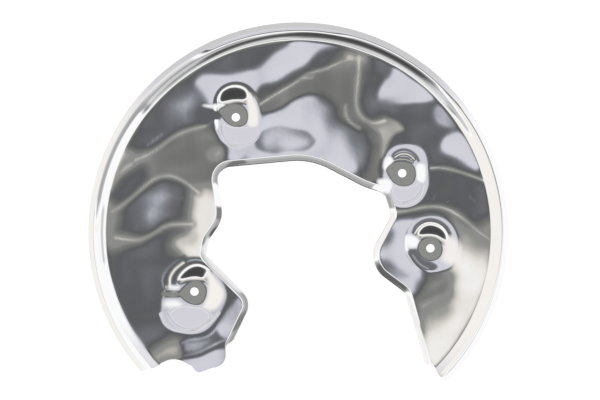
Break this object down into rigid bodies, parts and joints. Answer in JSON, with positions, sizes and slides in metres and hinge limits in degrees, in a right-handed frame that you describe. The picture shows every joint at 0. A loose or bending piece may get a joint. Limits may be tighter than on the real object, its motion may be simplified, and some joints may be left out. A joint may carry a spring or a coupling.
{
  "type": "brake dust shield",
  "caption": "Pressed sheet-metal shield behind a brake disc: a wide C with a raised outer rim, a lipped central opening and round bolt wells.",
  "frame": {"origin": "On the wheel axis, in the plane of the mounting faces at the backs of the bolt wells.", "axes": "+Z along the wheel axis towards the brake disc, +Y up on the vehicle, +X to the right seen from the disc side."},
  "size_m": [0.33, 0.2828, 0.0103],
  "materials": {
    "bare_sheet": "bright rolled sheet, faintly rippled by pressing"
  },
  "bodies": {
    "root": {"dust_shield": "bare_sheet"}
  },
  "joints": []
}
